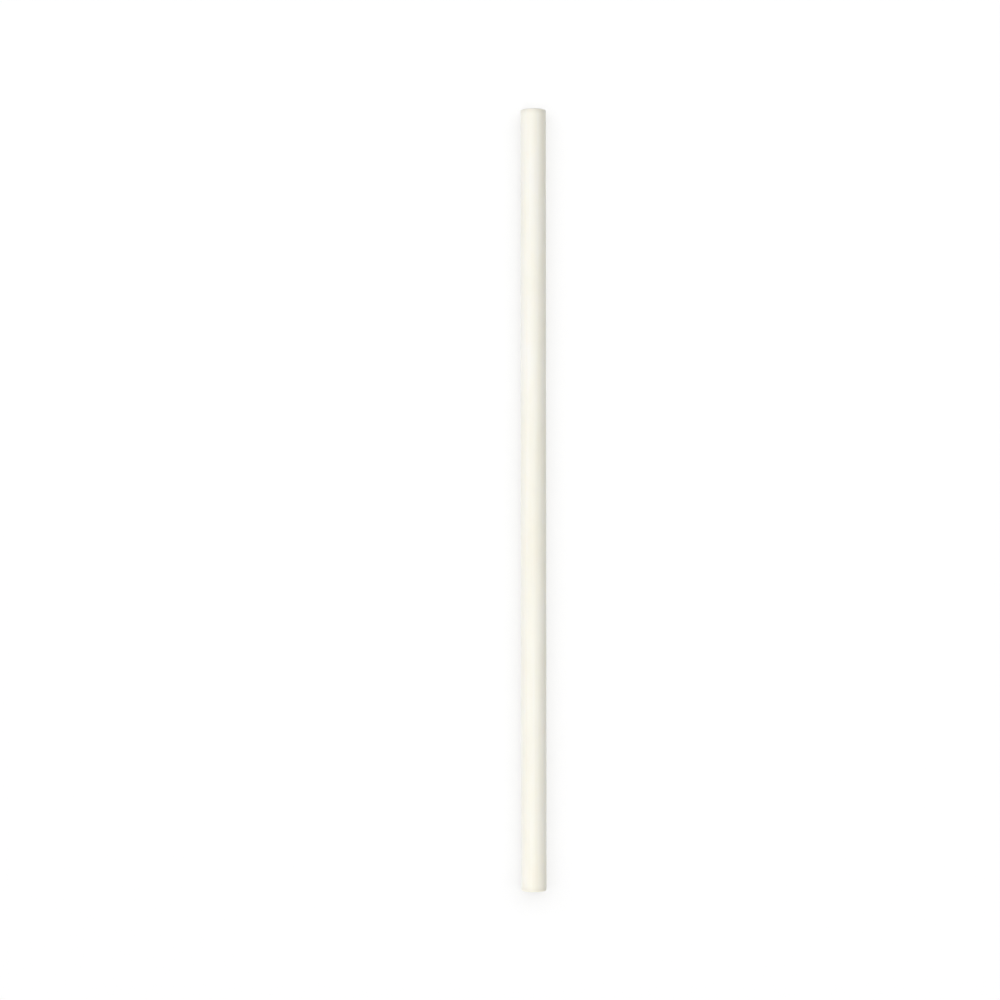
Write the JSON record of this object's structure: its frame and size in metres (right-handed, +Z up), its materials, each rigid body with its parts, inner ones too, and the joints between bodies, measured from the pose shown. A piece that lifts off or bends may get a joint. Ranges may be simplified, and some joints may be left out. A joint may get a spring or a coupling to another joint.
{
  "type": "drinking straw",
  "caption": "Plain straight drinking straw: a cream, thin-walled plastic tube with an open bore and square-cut, softly rounded ends.",
  "frame": {"origin": "middle of the straw's length, on the line along which it touches the surface it lies on", "axes": "+Y along the straw's axis, +Z up from the surface it lies on, +X across it"},
  "size_m": [0.0064, 0.197, 0.0064],
  "materials": {
    "straw": "satin"
  },
  "bodies": {
    "root": {"straw": "straw"}
  },
  "joints": []
}
